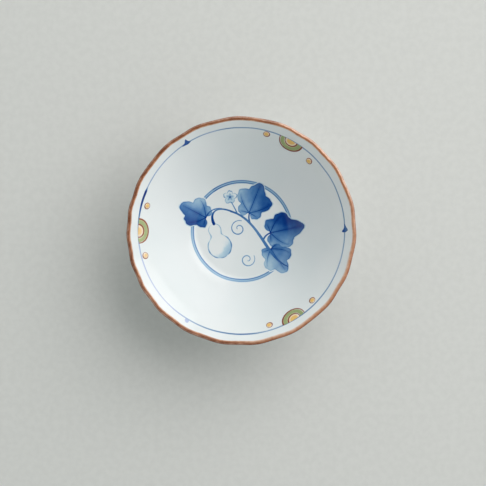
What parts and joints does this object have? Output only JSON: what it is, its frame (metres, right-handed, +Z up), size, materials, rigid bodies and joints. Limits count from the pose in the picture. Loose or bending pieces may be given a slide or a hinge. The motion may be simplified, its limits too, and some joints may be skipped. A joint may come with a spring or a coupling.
{
  "type": "porcelain dish",
  "caption": "Small round porcelain dish with a deep well, flaring wall, foliate brown-edged lip, foot ring and raised enamel half-roundels and dots.",
  "frame": {"origin": "centre of the foot ring, on the surface that the dish stands on", "axes": "+Z up through the centre of the dish; +X and +Y across the lip, with one half-roundel on the -X side"},
  "size_m": [0.1053, 0.1048, 0.037],
  "materials": {
    "clay": "bare fired porcelain clay, matt and slightly warm",
    "clear_glaze": "glossy clear glaze over white porcelain, with painting in underglaze blue inside",
    "brown_glaze": "iron-brown glaze on the lip, glossy, brushed on unevenly",
    "red_enamel": "iron-red overglaze line, semi-matt",
    "green_enamel": "soft green overglaze enamel, glossy and slightly raised",
    "yellow_enamel": "warm yellow overglaze enamel, glossy and slightly raised"
  },
  "bodies": {
    "root": {"porcelain_body": "clay", "foot_ring": "clay", "recess_glaze": "clear_glaze", "outer_glaze": "clear_glaze", "inner_glaze": "clear_glaze", "lip_brown_glaze": "brown_glaze", "roundel_1_outer_line": "red_enamel", "roundel_1_green_band": "green_enamel", "roundel_1_inner_line": "red_enamel", "roundel_1_yellow_heart": "yellow_enamel", "roundel_2_outer_line": "red_enamel", "roundel_2_green_band": "green_enamel", "roundel_2_inner_line": "red_enamel", "roundel_2_yellow_heart": "yellow_enamel", "roundel_3_outer_line": "red_enamel", "roundel_3_green_band": "green_enamel", "roundel_3_inner_line": "red_enamel", "roundel_3_yellow_heart": "yellow_enamel", "dot_1_outline": "red_enamel", "dot_1_yellow_drop": "yellow_enamel", "dot_2_outline": "red_enamel", "dot_2_yellow_drop": "yellow_enamel", "dot_3_outline": "red_enamel", "dot_3_yellow_drop": "yellow_enamel", "dot_4_outline": "red_enamel", "dot_4_yellow_drop": "yellow_enamel", "dot_5_outline": "red_enamel", "dot_5_yellow_drop": "yellow_enamel", "dot_6_outline": "red_enamel", "dot_6_yellow_drop": "yellow_enamel"}
  },
  "joints": []
}
